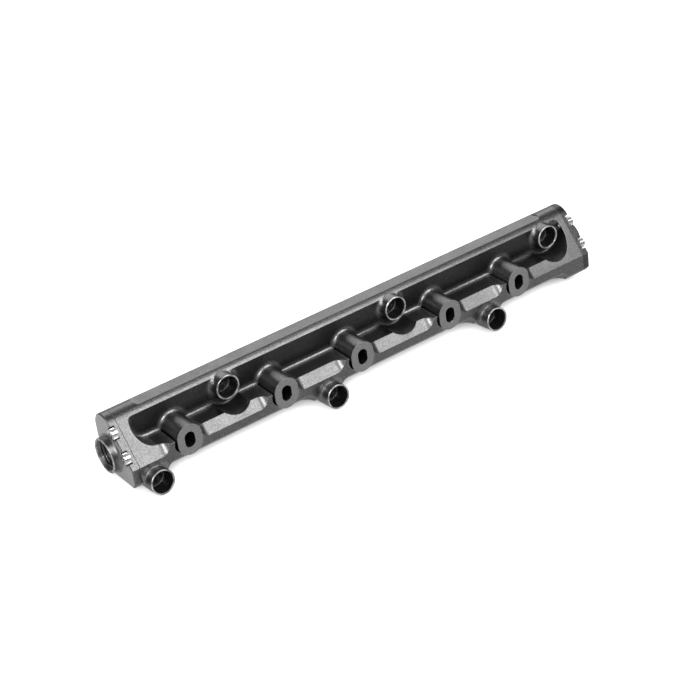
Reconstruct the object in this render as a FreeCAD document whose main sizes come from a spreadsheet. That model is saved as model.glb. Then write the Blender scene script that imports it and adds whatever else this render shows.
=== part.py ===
"""Fuel rail with two staggered rows of injector cups, two end caps and their screws.

The rail is described in its machined frame: X runs along it, Y goes back from the mounting
faces and Z goes up from its underside. It is placed as it lies on a level floor, on its
lower back edge and on the heels of its lower cups. All sizes are in millimetres.
"""

import FreeCAD, Part
import math
import os

import Sketcher

SIZES = {
    # Rail stock, cut from bar: its length and its section
    "rail_start": -9.2,
    "rail_length": 352.8,
    "depth": 39.5,
    "front_low": 3.5,
    "front_bevel": 3.2,
    "slant_start": 13.8,
    "slant_rise": 1.2,
    "top_radius": 11.2,
    # Long pocket between the ledge and the slanted lip
    "ledge_height": 20.2,
    "wall_depth": 19.8,
    "wall_fillet": 1.5,
    "pocket_end_place": 7.7,
    "pocket_end_height": 31.3,
    # Slanted and underside cuts, whose ends keep the cutter's radius
    "cutter_radius": 8.0,
    "slant_after_boss": 14.4,
    "slant_before_boss": 19.8,
    "relief_front": 8.3,
    "relief_back": 10.5,
    "relief_after_cup": 15.0,
    "relief_before_cup": 18.5,
    "relief_end": 330.5,
    # Flat along the crown, sunk below the crown's top
    "flat_depth": 1.065,
    "flat_start": 6.6,
    "flat_end": 328.6,
    "flat_radius": 6.5,
    # Injector cups
    "cup_pitch": 130.0,
    "cup_radius": 8.25,
    "cup_edge": 0.3,
    "bore_radius": 7.0,
    "lead_radius": 7.4,
    "lead_depth": 0.6,
    "upper_place": 65.0,
    "upper_rim_depth": 13.05,
    "upper_rim_height": 30.9,
    "upper_lean": 1.45,
    "upper_root": 3.0,
    "upper_root_sink": 0.3,
    "upper_clearance": 14.35,
    "upper_bore_depth": 10.0,
    "lower_place": 0.0,
    "lower_rim_depth": -8.0,
    "lower_rim_height": 2.8,
    "lower_lean": 5.87,
    "lower_barrel": 14.45,
    "lower_bore_depth": 12.4,
    # Mounting bosses and their slots
    "boss_first": 26.4,
    "boss_second": 97.6,
    "boss_height": 17.4,
    "boss_radius": 8.5,
    "boss_half_run": 2.0,
    "boss_proud": 0.5,
    "boss_root": 2.4,
    "boss_clearance": 7.2,
    "boss_clearance_side": 3.5,
    "boss_clearance_height": 16.9,
    "slot_radius": 3.6,
    "slot_half_run": 1.85,
    # Fuel galleries and the drillings that feed the cups
    "upper_gallery_radius": 4.5,
    "lower_gallery_radius": 3.0,
    "lower_gallery_depth": 24.0,
    "lower_gallery_height": 7.2,
    "upper_feed_radius": 2.5,
    "lower_feed_radius": 2.0,
    "lower_feed_start": 2.0,
    "lower_feed_height": 2.2,
    # End caps
    "cap_thickness": 5.55,
    "cap_edge": 0.6,
    "seam_edge": 0.25,
    "port_depth": 24.6,
    "port_height": 16.0,
    "collar_radius": 11.7,
    "collar_reach": 5.0,
    "collar_edge": 0.4,
    "collar_fillet": 1.5,
    "port_radius": 8.75,
    "port_seat_radius": 10.3,
    "port_seat_depth": 2.4,
    "port_floor": 2.3,
    "link_radius": 4.5,
    "link_depth": 3.0,
    "link_low_height": 9.0,
    # Seals between the caps and the rail
    "seal_inner": 5.3,
    "seal_width": 1.8,
    "seal_depth": 1.35,
    "seal_side_gap": 0.05,
    # Cap screws and their seats
    "screw_upper_depth": 18.4,
    "screw_upper_height": 31.9,
    "screw_front_depth": 7.5,
    "screw_front_height": 19.1,
    "screw_lower_depth": 35.0,
    "screw_lower_height": 5.4,
    "screw_head_radius": 3.5,
    "screw_head_height": 4.0,
    "screw_head_edge": 0.35,
    "screw_thread_radius": 1.95,
    "screw_length": 8.0,
    "socket_width": 3.0,
    "socket_depth": 2.0,
    "notch_radius": 4.4,
    "notch_depth": 3.0,
    "counterbore_radius": 3.9,
    "screw_clear_radius": 2.2,
    "tapped_radius": 2.0,
    "tapped_depth": 6.5,
}

CUPS_IN_ROW = 3

# Small inside rounds are laid out in this many short straight steps, which keeps them light
ROUND_STEPS = 3
SHEET = "Sizes"

# Expressions that several features share
RAIL_END = "(Sizes.rail_start + Sizes.rail_length)"
CROWN_DEPTH = "(Sizes.depth - Sizes.top_radius)"
SLANT_LEAN = "atan(Sizes.slant_rise)"
CROWN_HEIGHT = (
    f"(Sizes.slant_start + Sizes.slant_rise * {CROWN_DEPTH}"
    " - Sizes.top_radius / cos(atan(Sizes.slant_rise)))"
)
CORNER_HEIGHT = "(Sizes.slant_start + Sizes.slant_rise * Sizes.depth)"
LEDGE_EDGE = "((Sizes.ledge_height - Sizes.slant_start) / Sizes.slant_rise)"

# The heel of a lower cup and the lower back edge carry the rail on the floor
HEEL_DEPTH = (
    "(Sizes.lower_rim_depth + Sizes.lower_barrel * cos(Sizes.lower_lean)"
    " - Sizes.cup_radius * sin(Sizes.lower_lean))"
)
HEEL_DROP = (
    "(Sizes.lower_barrel * sin(Sizes.lower_lean) + Sizes.cup_radius * cos(Sizes.lower_lean)"
    " - Sizes.lower_rim_height)"
)
REST_LEAN = f"atan({HEEL_DROP} / (Sizes.depth - {HEEL_DEPTH}))"

document = FreeCAD.newDocument("fuel_rail")


def make_sheet():
    """Spreadsheet that holds every driving dimension under its own name."""
    sheet = document.addObject("Spreadsheet::Sheet", SHEET)
    for row, (alias, size) in enumerate(SIZES.items(), start=1):
        sheet.set(f"A{row}", alias)
        sheet.set(f"B{row}", str(size))
        sheet.setAlias(f"B{row}", alias)
    document.recompute()
    return sheet


def number(owner, expression):
    """Value of an expression over the sheet."""
    result = owner.evalExpression(expression)
    return float(getattr(result, "Value", result))


def new_body(label):
    """Body in the machined frame, laid down as the rail comes to rest."""
    body = document.addObject("PartDesign::Body", label)
    body.Label = label
    lying = FreeCAD.Rotation(FreeCAD.Vector(1, 0, 0), -10)
    body.Placement = FreeCAD.Placement(FreeCAD.Vector(), lying)
    body.setExpression("Placement.Rotation.Angle", f"-1 * {REST_LEAN}")
    body.setExpression("Placement.Base.x", f"-0.5 * (Sizes.rail_start + {RAIL_END})")
    front = (
        f"(Sizes.lower_rim_depth * cos({REST_LEAN}) + Sizes.lower_rim_height * sin({REST_LEAN})"
        f" - Sizes.cup_radius * sin(Sizes.lower_lean * 1 deg + {REST_LEAN}))"
    )
    back = f"({CROWN_DEPTH} * cos({REST_LEAN}) + {CROWN_HEIGHT} * sin({REST_LEAN}) + Sizes.top_radius)"
    body.setExpression("Placement.Base.y", f"-0.5 * ({front} + {back})")
    body.setExpression("Placement.Base.z", f"Sizes.depth * sin({REST_LEAN})")
    return body


def new_sketch(body, name, plane, along="0", up="0", off="0", lean=None, axis=(0, 0, 1)):
    """Sketch on an origin plane, shifted in it by along and up, off it by off, then leaned."""
    sketch = body.newObject("Sketcher::SketchObject", name)
    support = [item for item in body.Origin.OriginFeatures if item.Role == plane][0]
    sketch.AttachmentSupport = [(support, "")]
    sketch.MapMode = "FlatFace"
    turn = FreeCAD.Rotation(FreeCAD.Vector(*axis), 0 if lean is None else 45)
    sketch.AttachmentOffset = FreeCAD.Placement(FreeCAD.Vector(), turn)
    for path, expression in (("x", along), ("y", up), ("z", off)):
        if expression != "0":
            sketch.setExpression(f"AttachmentOffset.Base.{path}", expression)
    if lean is not None:
        sketch.setExpression("AttachmentOffset.Rotation.Angle", lean)
    return sketch


def pin(sketch, geometry, end, across, up):
    """Hold a point of a sketch at two distances from the sketch's origin."""
    for kind, expression in (("DistanceX", across), ("DistanceY", up)):
        size = number(sketch, expression)
        index = sketch.addConstraint(Sketcher.Constraint(kind, -1, 1, geometry, end, size))
        if expression != "0":
            sketch.setExpression(f"Constraints[{index}]", expression)


def set_radius(sketch, geometry, radius):
    """Bind the radius of a circle or an arc."""
    size = number(sketch, radius)
    index = sketch.addConstraint(Sketcher.Constraint("Radius", geometry, size))
    sketch.setExpression(f"Constraints[{index}]", radius)


def draw_circle(sketch, across, up, radius):
    """Full circle with a bound centre and radius."""
    centre = FreeCAD.Vector(number(sketch, across), number(sketch, up), 0)
    circle = Part.Circle(centre, FreeCAD.Vector(0, 0, 1), number(sketch, radius))
    geometry = sketch.addGeometry(circle, False)
    pin(sketch, geometry, 3, across, up)
    set_radius(sketch, geometry, radius)


def draw_arc(sketch, centre, start, finish, radius):
    """Arc that turns left from start to finish about a centre."""
    first = math.atan2(start.y - centre.y, start.x - centre.x)
    last = math.atan2(finish.y - centre.y, finish.x - centre.x)
    if last < first:
        last += 2 * math.pi
    circle = Part.Circle(centre, FreeCAD.Vector(0, 0, 1), radius)
    return sketch.addGeometry(Part.ArcOfCircle(circle, first, last), False)


def draw_obround(sketch, start, finish, radius):
    """Slot outline: two half circles about the bound points start and finish."""
    reach = number(sketch, radius)
    first = FreeCAD.Vector(number(sketch, start[0]), number(sketch, start[1]), 0)
    last = FreeCAD.Vector(number(sketch, finish[0]), number(sketch, finish[1]), 0)
    run = (last - first).normalize()
    side = FreeCAD.Vector(run.y, -run.x, 0) * reach
    near = draw_arc(sketch, first, first - side, first + side, reach)
    low = sketch.addGeometry(Part.LineSegment(first + side, last + side), False)
    far = draw_arc(sketch, last, last + side, last - side, reach)
    high = sketch.addGeometry(Part.LineSegment(last - side, first - side), False)
    for line, line_end, arc, arc_end in (
        (low, 1, near, 2),
        (low, 2, far, 1),
        (high, 1, far, 2),
        (high, 2, near, 1),
    ):
        sketch.addConstraint(Sketcher.Constraint("Tangent", line, line_end, arc, arc_end))
    pin(sketch, near, 3, *start)
    pin(sketch, far, 3, *finish)
    set_radius(sketch, near, radius)


def draw_outline(sketch, corners):
    """Closed outline through bound corners (across, up) or rounded ones (across, up, radius)."""
    count = len(corners)
    points = [FreeCAD.Vector(number(sketch, c[0]), number(sketch, c[1]), 0) for c in corners]
    radii = [number(sketch, c[2]) if len(c) > 2 else 0.0 for c in corners]
    leave, reach, centre, turn = [], [], [], []
    for index, point in enumerate(points):
        back = (points[index - 1] - point).normalize()
        ahead = (points[(index + 1) % count] - point).normalize()
        turn.append(ahead.x * back.y - ahead.y * back.x)
        half = math.acos(max(-1.0, min(1.0, back.dot(ahead)))) / 2
        trim = radii[index] / math.tan(half)
        reach.append(point + back * trim)
        leave.append(point + ahead * trim)
        middle = (back + ahead).normalize() if radii[index] else ahead
        centre.append(point + middle * (radii[index] / math.sin(half)))
    lines = []
    for index in range(count):
        segment = Part.LineSegment(leave[index], reach[(index + 1) % count])
        lines.append(sketch.addGeometry(segment, False))
    for index, corner in enumerate(corners):
        before = lines[index - 1]
        after = lines[index]
        if not radii[index]:
            sketch.addConstraint(Sketcher.Constraint("Coincident", before, 2, after, 1))
            pin(sketch, after, 1, corner[0], corner[1])
            continue
        ends = (reach[index], leave[index]) if turn[index] > 0 else (leave[index], reach[index])
        arc = draw_arc(sketch, centre[index], ends[0], ends[1], radii[index])
        first, last = (1, 2) if turn[index] > 0 else (2, 1)
        sketch.addConstraint(Sketcher.Constraint("Tangent", before, 2, arc, first))
        sketch.addConstraint(Sketcher.Constraint("Tangent", after, 1, arc, last))
        set_radius(sketch, arc, corner[2])
        mark = sketch.addGeometry(Part.Point(points[index]), True)
        sketch.addConstraint(Sketcher.Constraint("PointOnObject", mark, 1, before))
        sketch.addConstraint(Sketcher.Constraint("PointOnObject", mark, 1, after))
        pin(sketch, mark, 1, corner[0], corner[1])


def stepped_round(across, up, radius, inward, upward):
    """Points of a corner's round, from its upright side to its level side.

    The signs inward and upward point from the corner to the centre of the round.
    """
    points = []
    for step in range(ROUND_STEPS + 1):
        angle = 90 * step / ROUND_STEPS
        points.append(
            (
                f"({across} {inward} {radius} * (1 - cos({angle})))",
                f"({up} {upward} {radius} * (1 - sin({angle})))",
            )
        )
    return points


def check_states():
    """Stop at the first object that failed to recompute."""
    for item in document.Objects:
        if "Invalid" in item.State or "Error" in item.State:
            raise RuntimeError(f"{item.Label} failed: {item.getStatusString()}")


def solid_of(body):
    """Shape of the body after a recompute, with a check that the last feature took."""
    document.recompute()
    check_states()
    if body.Shape.isNull() or not body.Shape.isValid():
        raise RuntimeError(f"{body.Label}: {body.Tip.Label} left no valid shape")
    return body.Shape


def check_step(body, volume_before, grows):
    """Make sure that the last feature added or removed material, as it should."""
    volume = solid_of(body).Volume
    if (volume > volume_before) is not grows or abs(volume - volume_before) < 0.01:
        raise RuntimeError(f"{body.Label}: {body.Tip.Label} changed {volume_before} to {volume}")


def extrude(body, name, kind, sketch, length, reversed_=False, midplane=False):
    """Pad or pocket of a sketch with a bound length."""
    before = body.Shape.Volume if body.Tip else 0.0
    feature = body.newObject(f"PartDesign::{kind}", name)
    feature.Profile = sketch
    feature.Length = number(sketch, length)
    feature.setExpression("Length", length)
    feature.Reversed = reversed_
    if midplane:
        feature.SideType = "Symmetric"
    sketch.Visibility = False
    check_step(body, before, kind == "Pad")
    return feature


def revolve(body, name, kind, sketch):
    """Revolution or groove of a half section about the sketch's horizontal axis."""
    before = body.Shape.Volume if body.Tip else 0.0
    feature = body.newObject(f"PartDesign::{kind}", name)
    feature.Profile = sketch
    feature.ReferenceAxis = (sketch, ["H_Axis"])
    feature.Angle = 360
    sketch.Visibility = False
    check_step(body, before, kind == "Revolution")
    return feature


def repeat_cups(body, name, features, grows):
    """Repeat features of one cup along its row."""
    before = body.Shape.Volume
    pattern = body.newObject("PartDesign::LinearPattern", name)
    axis = [item for item in body.Origin.OriginFeatures if item.Role == "X_Axis"][0]
    pattern.Originals = features
    pattern.Direction = (axis, [""])
    pattern.Occurrences = CUPS_IN_ROW
    pattern.Length = number(pattern, f"Sizes.cup_pitch * {CUPS_IN_ROW - 1}")
    pattern.setExpression("Length", f"Sizes.cup_pitch * {CUPS_IN_ROW - 1}")
    body.Tip = pattern
    check_step(body, before, grows)
    return pattern


def boss_places():
    """Places of the five bosses along the rail, in order."""
    places = []
    for index in range(CUPS_IN_ROW):
        places.append(f"(Sizes.boss_first + {index} * Sizes.cup_pitch)")
        places.append(f"(Sizes.boss_second + {index} * Sizes.cup_pitch)")
    return places[:-1]


def section_corners(with_tongue):
    """Corners of the rail's section; the tongue is the stock left in front of the ledge."""
    corners = [
        ("Sizes.front_bevel", "0"),
        ("Sizes.depth", "0"),
        ("Sizes.depth", CORNER_HEIGHT, "Sizes.top_radius"),
    ]
    if with_tongue:
        corners += [(LEDGE_EDGE, "Sizes.ledge_height"), ("0", "Sizes.ledge_height")]
    else:
        corners += [("0", "Sizes.slant_start")]
    return corners + [("0", "Sizes.front_low")]


def cut_stock(body):
    """Bar of the rail's section, with the tongue still running its whole length."""
    sketch = new_sketch(body, "Section", "YZ_Plane", off="Sizes.rail_start")
    draw_outline(sketch, section_corners(True))
    extrude(body, "Stock", "Pad", sketch, "Sizes.rail_length")


def cut_slanted_strips(body):
    """Slanted strips between the bosses, their ends rounded by the cutter."""
    sketch = new_sketch(
        body, "SlantStrips", "XZ_Plane", up="Sizes.slant_start", lean=SLANT_LEAN, axis=(1, 0, 0)
    )
    bosses = boss_places()
    starts = ["(Sizes.rail_start - Sizes.cutter_radius)"]
    starts += [f"({place} + Sizes.slant_after_boss - Sizes.cutter_radius)" for place in bosses]
    ends = [f"({place} - Sizes.slant_before_boss + Sizes.cutter_radius)" for place in bosses]
    ends += [f"({RAIL_END} + Sizes.cutter_radius)"]
    clear = "(2 * Sizes.cutter_radius)"
    for index, (start, end) in enumerate(zip(starts, ends)):
        left = (start, "0") if index == 0 else (start, "0", "Sizes.cutter_radius")
        right = (end, "0") if index == len(bosses) else (end, "0", "Sizes.cutter_radius")
        draw_outline(sketch, [left, right, (end, clear), (start, clear)])
    extrude(body, "SlantCut", "Pocket", sketch, "2 * Sizes.depth", midplane=True)


def cut_underside_reliefs(body):
    """Sloped reliefs under the front edge, from each lower cup to the next."""
    lean = "180 deg - atan(Sizes.relief_front / Sizes.relief_back)"
    sketch = new_sketch(
        body, "Reliefs", "XZ_Plane", up="Sizes.relief_front", lean=lean, axis=(1, 0, 0)
    )
    clear = "(2 * Sizes.cutter_radius)"
    for index in range(CUPS_IN_ROW):
        cup = f"(Sizes.lower_place + {index} * Sizes.cup_pitch)"
        start = f"({cup} + Sizes.relief_after_cup - Sizes.cutter_radius)"
        end = f"({cup} + Sizes.cup_pitch - Sizes.relief_before_cup + Sizes.cutter_radius)"
        if index == CUPS_IN_ROW - 1:
            end = "Sizes.relief_end"
        low = [(start, "0", "Sizes.cutter_radius"), (end, "0", "Sizes.cutter_radius")]
        draw_outline(sketch, low + [(end, clear), (start, clear)])
    extrude(body, "ReliefCut", "Pocket", sketch, "2 * Sizes.depth", midplane=True)


def round_cut_section(sketch, radius, depth, corner):
    """Half section of a round cut from the front, with a rounded floor corner."""
    floor = stepped_round(depth, radius, corner, "-", "-")
    draw_outline(sketch, [("0", "0"), (depth, "0")] + floor + [("0", radius)])


def cut_long_pocket(body):
    """Pocket above the ledge, open through the slanted face, with a round left end."""
    sketch = new_sketch(body, "PocketSection", "YZ_Plane", off="Sizes.pocket_end_place")
    foot = stepped_round("Sizes.wall_depth", "Sizes.ledge_height", "Sizes.wall_fillet", "-", "+")
    top = [("Sizes.wall_depth", CORNER_HEIGHT), ("0", CORNER_HEIGHT)]
    draw_outline(sketch, [("0", "Sizes.ledge_height")] + foot[::-1] + top)
    last_cup = f"Sizes.upper_place + {CUPS_IN_ROW - 1} * Sizes.cup_pitch"
    extrude(body, "LongPocket", "Pocket", sketch, f"{last_cup} - Sizes.pocket_end_place", True)
    end = new_sketch(
        body, "PocketEnd", "YZ_Plane", up="Sizes.pocket_end_height", off="Sizes.pocket_end_place"
    )
    radius = "(Sizes.pocket_end_height - Sizes.ledge_height)"
    round_cut_section(end, radius, "Sizes.wall_depth", "Sizes.wall_fillet")
    revolve(body, "PocketEndCut", "Groove", end)


def cut_cup_clearance(body):
    """Round clearance about each upper cup, cut to the pocket's wall."""
    sketch = new_sketch(
        body, "CupClearance", "YZ_Plane", up="Sizes.upper_rim_height", off="Sizes.upper_place"
    )
    round_cut_section(sketch, "Sizes.upper_clearance", "Sizes.wall_depth", "Sizes.wall_fillet")
    cut = revolve(body, "CupClearanceCut", "Groove", sketch)
    repeat_cups(body, "CupClearances", [cut], False)


def cut_boss_clearance(body):
    """Round clearance along the left flank of each boss."""
    sketch = new_sketch(body, "BossClearance", "XZ_Plane")
    for place in boss_places():
        centre = f"({place} - Sizes.boss_clearance_side)"
        draw_circle(sketch, centre, "Sizes.boss_clearance_height", "Sizes.boss_clearance")
    extrude(body, "BossClearanceCut", "Pocket", sketch, "Sizes.wall_depth")


def add_cup_roots(body):
    """Rounded roots of the upper cups, trimmed to the slanted lip and the crown."""
    sketch = new_sketch(
        body,
        "CupRoot",
        "YZ_Plane",
        "Sizes.upper_rim_depth",
        "Sizes.upper_rim_height",
        "Sizes.upper_place",
        "-1 * Sizes.upper_lean",
    )
    wall = "(Sizes.wall_depth - Sizes.upper_rim_depth + Sizes.upper_root_sink)"
    inside = f"({wall} + Sizes.wall_fillet)"
    ring = [
        (f"({wall} - Sizes.upper_root)", "0"),
        (inside, "0"),
        (inside, "(Sizes.cup_radius + Sizes.upper_root)"),
    ]
    ring += stepped_round(wall, "Sizes.cup_radius", "Sizes.upper_root", "-", "+")
    draw_outline(sketch, ring)
    root = revolve(body, "CupRootRing", "Revolution", sketch)
    repeat_cups(body, "CupRoots", [root], True)
    trim = new_sketch(body, "LipTrim", "YZ_Plane", off="Sizes.pocket_end_place")
    behind = "(Sizes.depth + Sizes.top_radius)"
    draw_outline(
        trim,
        [
            (LEDGE_EDGE, "Sizes.ledge_height"),
            ("Sizes.depth", CORNER_HEIGHT, "Sizes.top_radius"),
            ("Sizes.depth", "Sizes.ledge_height"),
            (behind, "Sizes.ledge_height"),
            (behind, CORNER_HEIGHT),
            (LEDGE_EDGE, CORNER_HEIGHT),
        ],
    )
    last_cup = f"Sizes.upper_place + {CUPS_IN_ROW - 1} * Sizes.cup_pitch + Sizes.upper_clearance"
    extrude(body, "LipTrimCut", "Pocket", trim, f"{last_cup} - Sizes.pocket_end_place", True)


def add_bosses(body):
    """Mounting bosses from the pocket's wall to the mounting plane, with round roots."""
    sketch = new_sketch(body, "BossOutlines", "XZ_Plane", off="Sizes.boss_proud")
    for place in boss_places():
        low = (place, "(Sizes.boss_height - Sizes.boss_half_run)")
        high = (place, "(Sizes.boss_height + Sizes.boss_half_run)")
        draw_obround(sketch, low, high, "Sizes.boss_radius")
    length = "Sizes.boss_proud + Sizes.wall_depth + Sizes.boss_root"
    extrude(body, "Bosses", "Pad", sketch, length, True)
    ring = [
        ("(-1 * Sizes.boss_root)", "0"),
        ("Sizes.boss_root", "0"),
        ("Sizes.boss_root", "(Sizes.boss_radius + Sizes.boss_root)"),
    ]
    ring += stepped_round("0", "Sizes.boss_radius", "Sizes.boss_root", "-", "+")
    for place, tag in zip(boss_places(), ("A", "B", "C", "D", "E")):
        root = new_sketch(
            body,
            f"BossRoot{tag}",
            "YZ_Plane",
            "Sizes.wall_depth",
            "Sizes.boss_height + Sizes.boss_half_run",
            place,
        )
        draw_outline(root, ring)
        revolve(body, f"BossRootRing{tag}", "Revolution", root)


def cup_barrel_corners(length):
    """Half section of a cup's barrel, from its rim back."""
    return [
        ("0", "0"),
        (length, "0"),
        (length, "Sizes.cup_radius"),
        ("Sizes.cup_edge", "Sizes.cup_radius"),
        ("0", "(Sizes.cup_radius - Sizes.cup_edge)"),
    ]


def cup_bore_corners(depth):
    """Half section of an injector bore with the lead-in that the seal slides over."""
    return [
        ("0", "0"),
        (depth, "0"),
        (depth, "Sizes.bore_radius"),
        ("Sizes.lead_depth", "Sizes.bore_radius"),
        ("0", "Sizes.lead_radius"),
    ]


def add_upper_cups(body):
    """Upper row: barrels out of the pocket's wall, bored and fed from the upper gallery."""
    place = ("Sizes.upper_rim_depth", "Sizes.upper_rim_height", "Sizes.upper_place")
    lean = "-1 * Sizes.upper_lean"
    barrel = new_sketch(body, "UpperBarrel", "YZ_Plane", *place, lean)
    draw_outline(barrel, cup_barrel_corners("Sizes.upper_bore_depth"))
    bore = new_sketch(body, "UpperBore", "YZ_Plane", *place, lean)
    draw_outline(bore, cup_bore_corners("Sizes.upper_bore_depth"))
    feed = new_sketch(body, "UpperFeed", "YZ_Plane", *place, lean)
    reach = f"({CROWN_DEPTH} - Sizes.upper_rim_depth)"
    draw_outline(
        feed,
        [
            ("Sizes.upper_bore_depth", "0"),
            (reach, "0"),
            (reach, "Sizes.upper_feed_radius"),
            ("Sizes.upper_bore_depth", "Sizes.upper_feed_radius"),
        ],
    )
    barrel_form = revolve(body, "UpperBarrelForm", "Revolution", barrel)
    repeat_cups(body, "UpperBarrels", [barrel_form], True)
    bore_cut = revolve(body, "UpperBoreCut", "Groove", bore)
    repeat_cups(body, "UpperBores", [bore_cut], False)
    feed_cut = revolve(body, "UpperFeedCut", "Groove", feed)
    repeat_cups(body, "UpperFeeds", [feed_cut], False)


def add_lower_cups(body):
    """Lower row: barrels along the underside, bored and fed from the lower gallery."""
    place = ("Sizes.lower_rim_depth", "Sizes.lower_rim_height", "Sizes.lower_place")
    lean = "-1 * Sizes.lower_lean"
    barrel = new_sketch(body, "LowerBarrel", "YZ_Plane", *place, lean)
    draw_outline(barrel, cup_barrel_corners("Sizes.lower_barrel"))
    bore = new_sketch(body, "LowerBore", "YZ_Plane", *place, lean)
    draw_outline(bore, cup_bore_corners("Sizes.lower_bore_depth"))
    rise = "(Sizes.lower_gallery_height - Sizes.lower_feed_height)"
    run = "(Sizes.lower_gallery_depth - Sizes.lower_feed_start)"
    feed = new_sketch(
        body,
        "LowerFeed",
        "YZ_Plane",
        "Sizes.lower_feed_start",
        "Sizes.lower_feed_height",
        "Sizes.lower_place",
        f"atan({rise} / {run})",
    )
    draw_outline(
        feed,
        [
            ("0", "0"),
            (run, "0"),
            (run, "Sizes.lower_feed_radius"),
            ("0", "Sizes.lower_feed_radius"),
        ],
    )
    barrel_form = revolve(body, "LowerBarrelForm", "Revolution", barrel)
    repeat_cups(body, "LowerBarrels", [barrel_form], True)
    bore_cut = revolve(body, "LowerBoreCut", "Groove", bore)
    repeat_cups(body, "LowerBores", [bore_cut], False)
    feed_cut = revolve(body, "LowerFeedCut", "Groove", feed)
    repeat_cups(body, "LowerFeeds", [feed_cut], False)


def cut_slots(body):
    """Slot through each boss and the rail behind it."""
    sketch = new_sketch(body, "SlotOutlines", "XZ_Plane", off="Sizes.boss_proud")
    for place in boss_places():
        low = (place, "(Sizes.boss_height - Sizes.slot_half_run)")
        high = (place, "(Sizes.boss_height + Sizes.slot_half_run)")
        draw_obround(sketch, low, high, "Sizes.slot_radius")
    extrude(body, "Slots", "Pocket", sketch, "Sizes.boss_proud + Sizes.depth")


def cut_top_flat(body):
    """Shallow flat along the crown with round ends."""
    level = f"({CROWN_HEIGHT} + Sizes.top_radius - Sizes.flat_depth)"
    sketch = new_sketch(body, "TopFlat", "XY_Plane", off=level)
    start = ("(Sizes.flat_start + Sizes.flat_radius)", CROWN_DEPTH)
    end = ("(Sizes.flat_end - Sizes.flat_radius)", CROWN_DEPTH)
    draw_obround(sketch, start, end, "Sizes.flat_radius")
    extrude(body, "TopFlatCut", "Pocket", sketch, "Sizes.top_radius", True)


def cut_galleries(body):
    """Two fuel galleries that run from end to end."""
    sketch = new_sketch(body, "GallerySection", "YZ_Plane", off="Sizes.rail_start")
    draw_circle(sketch, CROWN_DEPTH, CROWN_HEIGHT, "Sizes.upper_gallery_radius")
    draw_circle(
        sketch,
        "Sizes.lower_gallery_depth",
        "Sizes.lower_gallery_height",
        "Sizes.lower_gallery_radius",
    )
    extrude(body, "Galleries", "Pocket", sketch, "Sizes.rail_length", True)


def screw_places():
    """Places of the three cap screws in the section, by name."""
    return {
        "upper": ("Sizes.screw_upper_depth", "Sizes.screw_upper_height"),
        "front": ("Sizes.screw_front_depth", "Sizes.screw_front_height"),
        "lower": ("Sizes.screw_lower_depth", "Sizes.screw_lower_height"),
    }


def cut_tapped_holes(body):
    """Tapped holes for the cap screws in both ends of the rail."""
    for name, end, forward in (
        ("Left", "Sizes.rail_start", True),
        ("Right", RAIL_END, False),
    ):
        sketch = new_sketch(body, f"Tapped{name}", "YZ_Plane", off=end)
        for across, up in screw_places().values():
            draw_circle(sketch, across, up, "Sizes.tapped_radius")
        extrude(body, f"TappedHoles{name}", "Pocket", sketch, "Sizes.tapped_depth", forward)


def make_rail_body():
    """The rail: one piece, milled from bar."""
    body = new_body("rail_body")
    cut_stock(body)
    cut_slanted_strips(body)
    cut_long_pocket(body)
    cut_cup_clearance(body)
    cut_boss_clearance(body)
    cut_underside_reliefs(body)
    cut_top_flat(body)
    add_cup_roots(body)
    add_bosses(body)
    add_upper_cups(body)
    add_lower_cups(body)
    cut_slots(body)
    cut_galleries(body)
    cut_tapped_holes(body)
    return body


SIDES = {
    "left": {"inner": "Sizes.rail_start", "sign": -1},
    "right": {"inner": RAIL_END, "sign": 1},
}


def beyond(side, distance):
    """Place along the rail at a distance outwards from one of its ends."""
    sign = "+" if SIDES[side]["sign"] > 0 else "-"
    return f"({SIDES[side]['inner']} {sign} {distance})"


def port_sketch(body, name, side):
    """Sketch that holds the port's axis, with its origin on the cap's outer face."""
    turn = "0 deg" if SIDES[side]["sign"] > 0 else "180 deg"
    place = (beyond(side, "Sizes.cap_thickness"), "Sizes.port_depth", "Sizes.port_height")
    return new_sketch(body, name, "XY_Plane", *place, turn)


def add_collar(body, side):
    """Round port collar on the cap with a filleted foot and a broken rim."""
    sketch = port_sketch(body, "Collar", side)
    inside = "(-0.5 * Sizes.cap_thickness)"
    outline = [
        (inside, "0"),
        ("Sizes.collar_reach", "0"),
        ("Sizes.collar_reach", "(Sizes.collar_radius - Sizes.collar_edge)"),
        ("(Sizes.collar_reach - Sizes.collar_edge)", "Sizes.collar_radius"),
    ]
    foot = stepped_round("0", "Sizes.collar_radius", "Sizes.collar_fillet", "+", "+")
    outline += foot[::-1] + [(inside, "(Sizes.collar_radius + Sizes.collar_fillet)")]
    draw_outline(sketch, outline)
    revolve(body, "CollarForm", "Revolution", sketch)


def cut_port(body, side):
    """Port bore with the cone that the hose fitting seals in."""
    sketch = port_sketch(body, "PortSection", side)
    floor = "(Sizes.port_floor - Sizes.cap_thickness)"
    seat = "(Sizes.collar_reach - Sizes.port_seat_depth)"
    draw_outline(
        sketch,
        [
            (floor, "0"),
            ("Sizes.collar_reach", "0"),
            ("Sizes.collar_reach", "Sizes.port_seat_radius"),
            (seat, "Sizes.port_radius"),
            (floor, "Sizes.port_radius"),
        ],
    )
    revolve(body, "PortCut", "Groove", sketch)


def link_line():
    """Ends of the line that joins the two galleries in the cap's inner face."""
    return (
        ("Sizes.lower_gallery_depth", "Sizes.link_low_height"),
        (CROWN_DEPTH, CROWN_HEIGHT),
    )


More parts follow.
